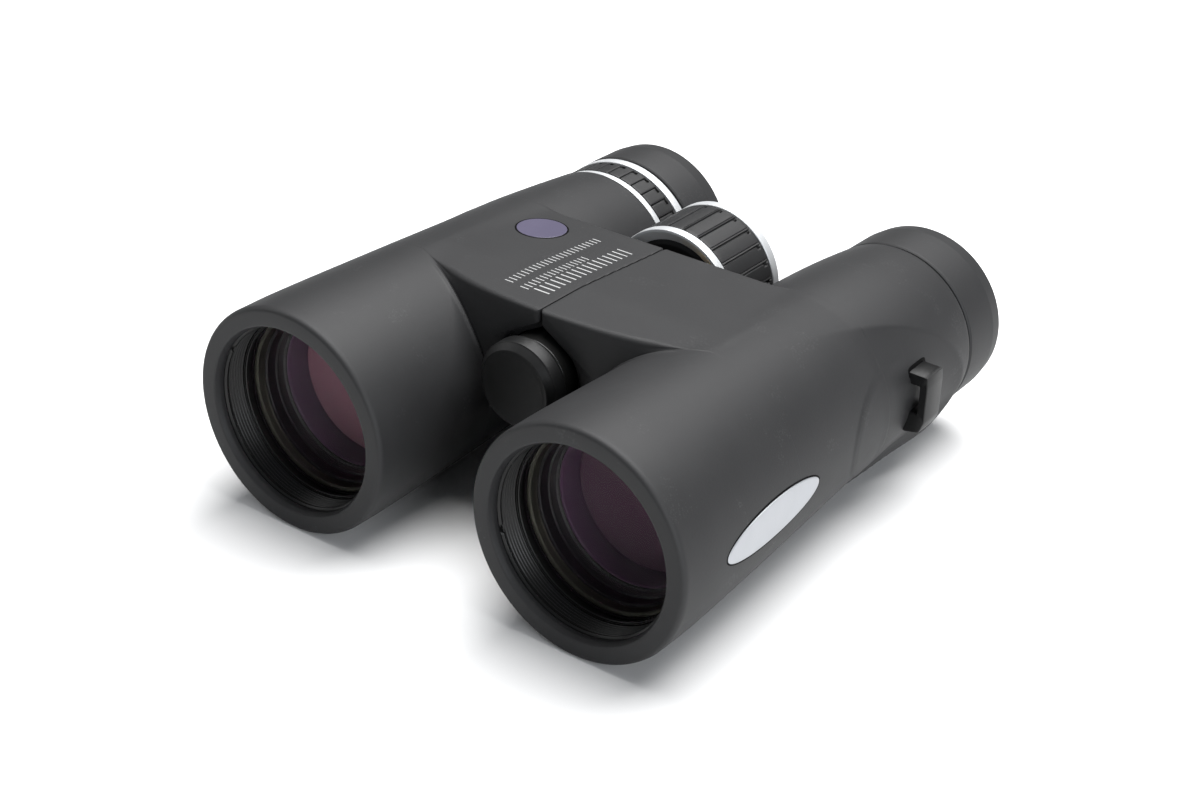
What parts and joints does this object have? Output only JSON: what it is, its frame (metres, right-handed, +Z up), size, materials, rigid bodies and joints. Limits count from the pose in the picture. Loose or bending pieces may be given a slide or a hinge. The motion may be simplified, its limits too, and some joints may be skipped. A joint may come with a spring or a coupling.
{
  "type": "binoculars",
  "caption": "Roof-prism binoculars with a folding bridge, centre focus wheel, dioptre ring, twist-up eyecups, strap lugs and capped tripod socket.",
  "frame": {"origin": "centre of the object's footprint, on the surface that it lies on, with the eyecups down and the barrels opened to the stop", "axes": "+Y from the objectives to the eyepieces along the barrels, +Z up, +X towards the user's left barrel"},
  "size_m": [0.1314, 0.139, 0.0534],
  "materials": {
    "armour_rubber": "fine satin texture",
    "grip_rubber": "ribbed, satin",
    "housing_casting": "black matte coat",
    "black_metal": "matte black anodised, ridged against stray light",
    "black_plastic": "satin",
    "satin_chrome": "satin, bright chamfers",
    "silver_badge": "brushed, silver anodised",
    "round_badge": "muted violet-grey, satin",
    "brass": "turned",
    "steel": "ground",
    "coated_glass": "violet anti-reflection coating",
    "clear_glass": "polished"
  },
  "bodies": {
    "left_barrel": {"left_housing": "housing_casting", "left_armor": "armour_rubber", "left_objective_retainer": "black_metal", "left_objective_lens": "coated_glass", "left_objective_rear_lens": "clear_glass", "left_objective_cell": "black_metal", "left_objective_seal": "grip_rubber", "left_prism_cage": "black_metal", "left_half_penta_prism": "clear_glass", "left_roof_prism": "clear_glass", "left_eyepiece_tube": "black_metal", "left_field_stop": "black_metal", "left_eye_lens": "coated_glass", "left_eye_lens_retainer": "black_metal", "left_strap_lug": "black_plastic", "left_side_badge": "silver_badge", "left_field_lens": "clear_glass", "hinge_shaft": "steel", "tripod_socket": "brass", "front_hinge_washer": "steel", "rear_hinge_washer": "steel"},
    "right_barrel": {"right_housing": "housing_casting", "right_armor": "armour_rubber", "right_objective_retainer": "black_metal", "right_objective_lens": "coated_glass", "right_objective_rear_lens": "clear_glass", "right_objective_cell": "black_metal", "right_objective_seal": "grip_rubber", "right_prism_cage": "black_metal", "right_half_penta_prism": "clear_glass", "right_roof_prism": "clear_glass", "right_eyepiece_tube": "black_metal", "right_field_stop": "black_metal", "right_eye_lens": "coated_glass", "right_eye_lens_retainer": "black_metal", "right_strap_lug": "black_plastic", "right_side_badge": "silver_badge", "top_badge": "round_badge"},
    "focus_wheel": {"focus_wheel": "black_plastic", "focus_wheel_cap": "black_plastic", "focus_wheel_front_ring": "satin_chrome", "focus_wheel_grip": "grip_rubber", "focus_wheel_rear_ring": "satin_chrome", "focus_spindle": "brass"},
    "focus_carriage": {"focus_carriage": "black_metal"},
    "left_focus_cell": {"left_focus_cell": "black_metal", "left_focus_lens": "clear_glass"},
    "right_focus_cell": {"right_focus_cell": "black_metal", "right_focus_lens": "clear_glass"},
    "diopter_ring": {"diopter_core": "black_plastic", "diopter_front_ring": "satin_chrome", "diopter_grip": "grip_rubber", "diopter_rear_ring": "satin_chrome"},
    "diopter_lens": {"diopter_lens_cell": "black_metal", "right_field_lens": "clear_glass"},
    "left_eyecup_guide": {"left_eyecup_guide": "black_plastic"},
    "left_eyecup": {"left_eyecup": "grip_rubber"},
    "right_eyecup_guide": {"right_eyecup_guide": "black_plastic"},
    "right_eyecup": {"right_eyecup": "grip_rubber"},
    "tripod_cap": {"tripod_cap": "black_plastic"}
  },
  "joints": [
    {"name": "pupil_distance_hinge", "type": "hinge", "parent": "left_barrel", "child": "right_barrel", "pos_m": [0, 0, 0.0364], "axis": [0, -1, 0], "range_deg": [0, 60]},
    {"name": "focus_wheel_turn", "type": "hinge", "parent": "left_barrel", "child": "focus_wheel", "pos_m": [0, 0.0265, 0.0364], "axis": [0, 1, 0], "range_deg": [-270, 270]},
    {"name": "focus_carriage_travel", "type": "slide", "parent": "left_barrel", "child": "focus_carriage", "axis": [0, 1, 0], "range_m": [-0.003, 0.003]},
    {"name": "left_focus_travel", "type": "slide", "parent": "left_barrel", "child": "left_focus_cell", "axis": [0, 1, 0], "range_m": [-0.003, 0.003]},
    {"name": "right_focus_travel", "type": "slide", "parent": "right_barrel", "child": "right_focus_cell", "axis": [0, 1, 0], "range_m": [-0.003, 0.003]},
    {"name": "diopter_turn", "type": "hinge", "parent": "right_barrel", "child": "diopter_ring", "pos_m": [-0.039, 0.0485, 0.0267], "axis": [0, 1, 0], "range_deg": [-45, 45]},
    {"name": "diopter_lens_travel", "type": "slide", "parent": "right_barrel", "child": "diopter_lens", "axis": [0, 1, 0], "range_m": [-0.0008, 0.0008]},
    {"name": "left_eyecup_turn", "type": "hinge", "parent": "left_barrel", "child": "left_eyecup_guide", "pos_m": [0.039, 0.0585, 0.0267], "axis": [0, 1, 0], "range_deg": [0, 120]},
    {"name": "left_eyecup_rise", "type": "slide", "parent": "left_eyecup_guide", "child": "left_eyecup", "axis": [0, 1, 0], "range_m": [0, 0.008]},
    {"name": "right_eyecup_turn", "type": "hinge", "parent": "right_barrel", "child": "right_eyecup_guide", "pos_m": [-0.039, 0.0585, 0.0267], "axis": [0, 1, 0], "range_deg": [0, 120]},
    {"name": "right_eyecup_rise", "type": "slide", "parent": "right_eyecup_guide", "child": "right_eyecup", "axis": [0, 1, 0], "range_m": [0, 0.008]},
    {"name": "tripod_cap_removal", "type": "slide", "parent": "left_barrel", "child": "tripod_cap", "axis": [0, -1, 0], "range_m": [0, 0.012]}
  ],
  "couplings": [
    {"joint": "focus_carriage_travel", "follows": "focus_wheel_turn", "m_per_rad": 0.000636},
    {"joint": "left_focus_travel", "follows": "focus_wheel_turn", "m_per_rad": 0.000636},
    {"joint": "right_focus_travel", "follows": "focus_wheel_turn", "m_per_rad": 0.000636},
    {"joint": "diopter_lens_travel", "follows": "diopter_turn", "m_per_rad": 0.001},
    {"joint": "left_eyecup_rise", "follows": "left_eyecup_turn", "m_per_rad": 0.0038},
    {"joint": "right_eyecup_rise", "follows": "right_eyecup_turn", "m_per_rad": 0.0038}
  ]
}
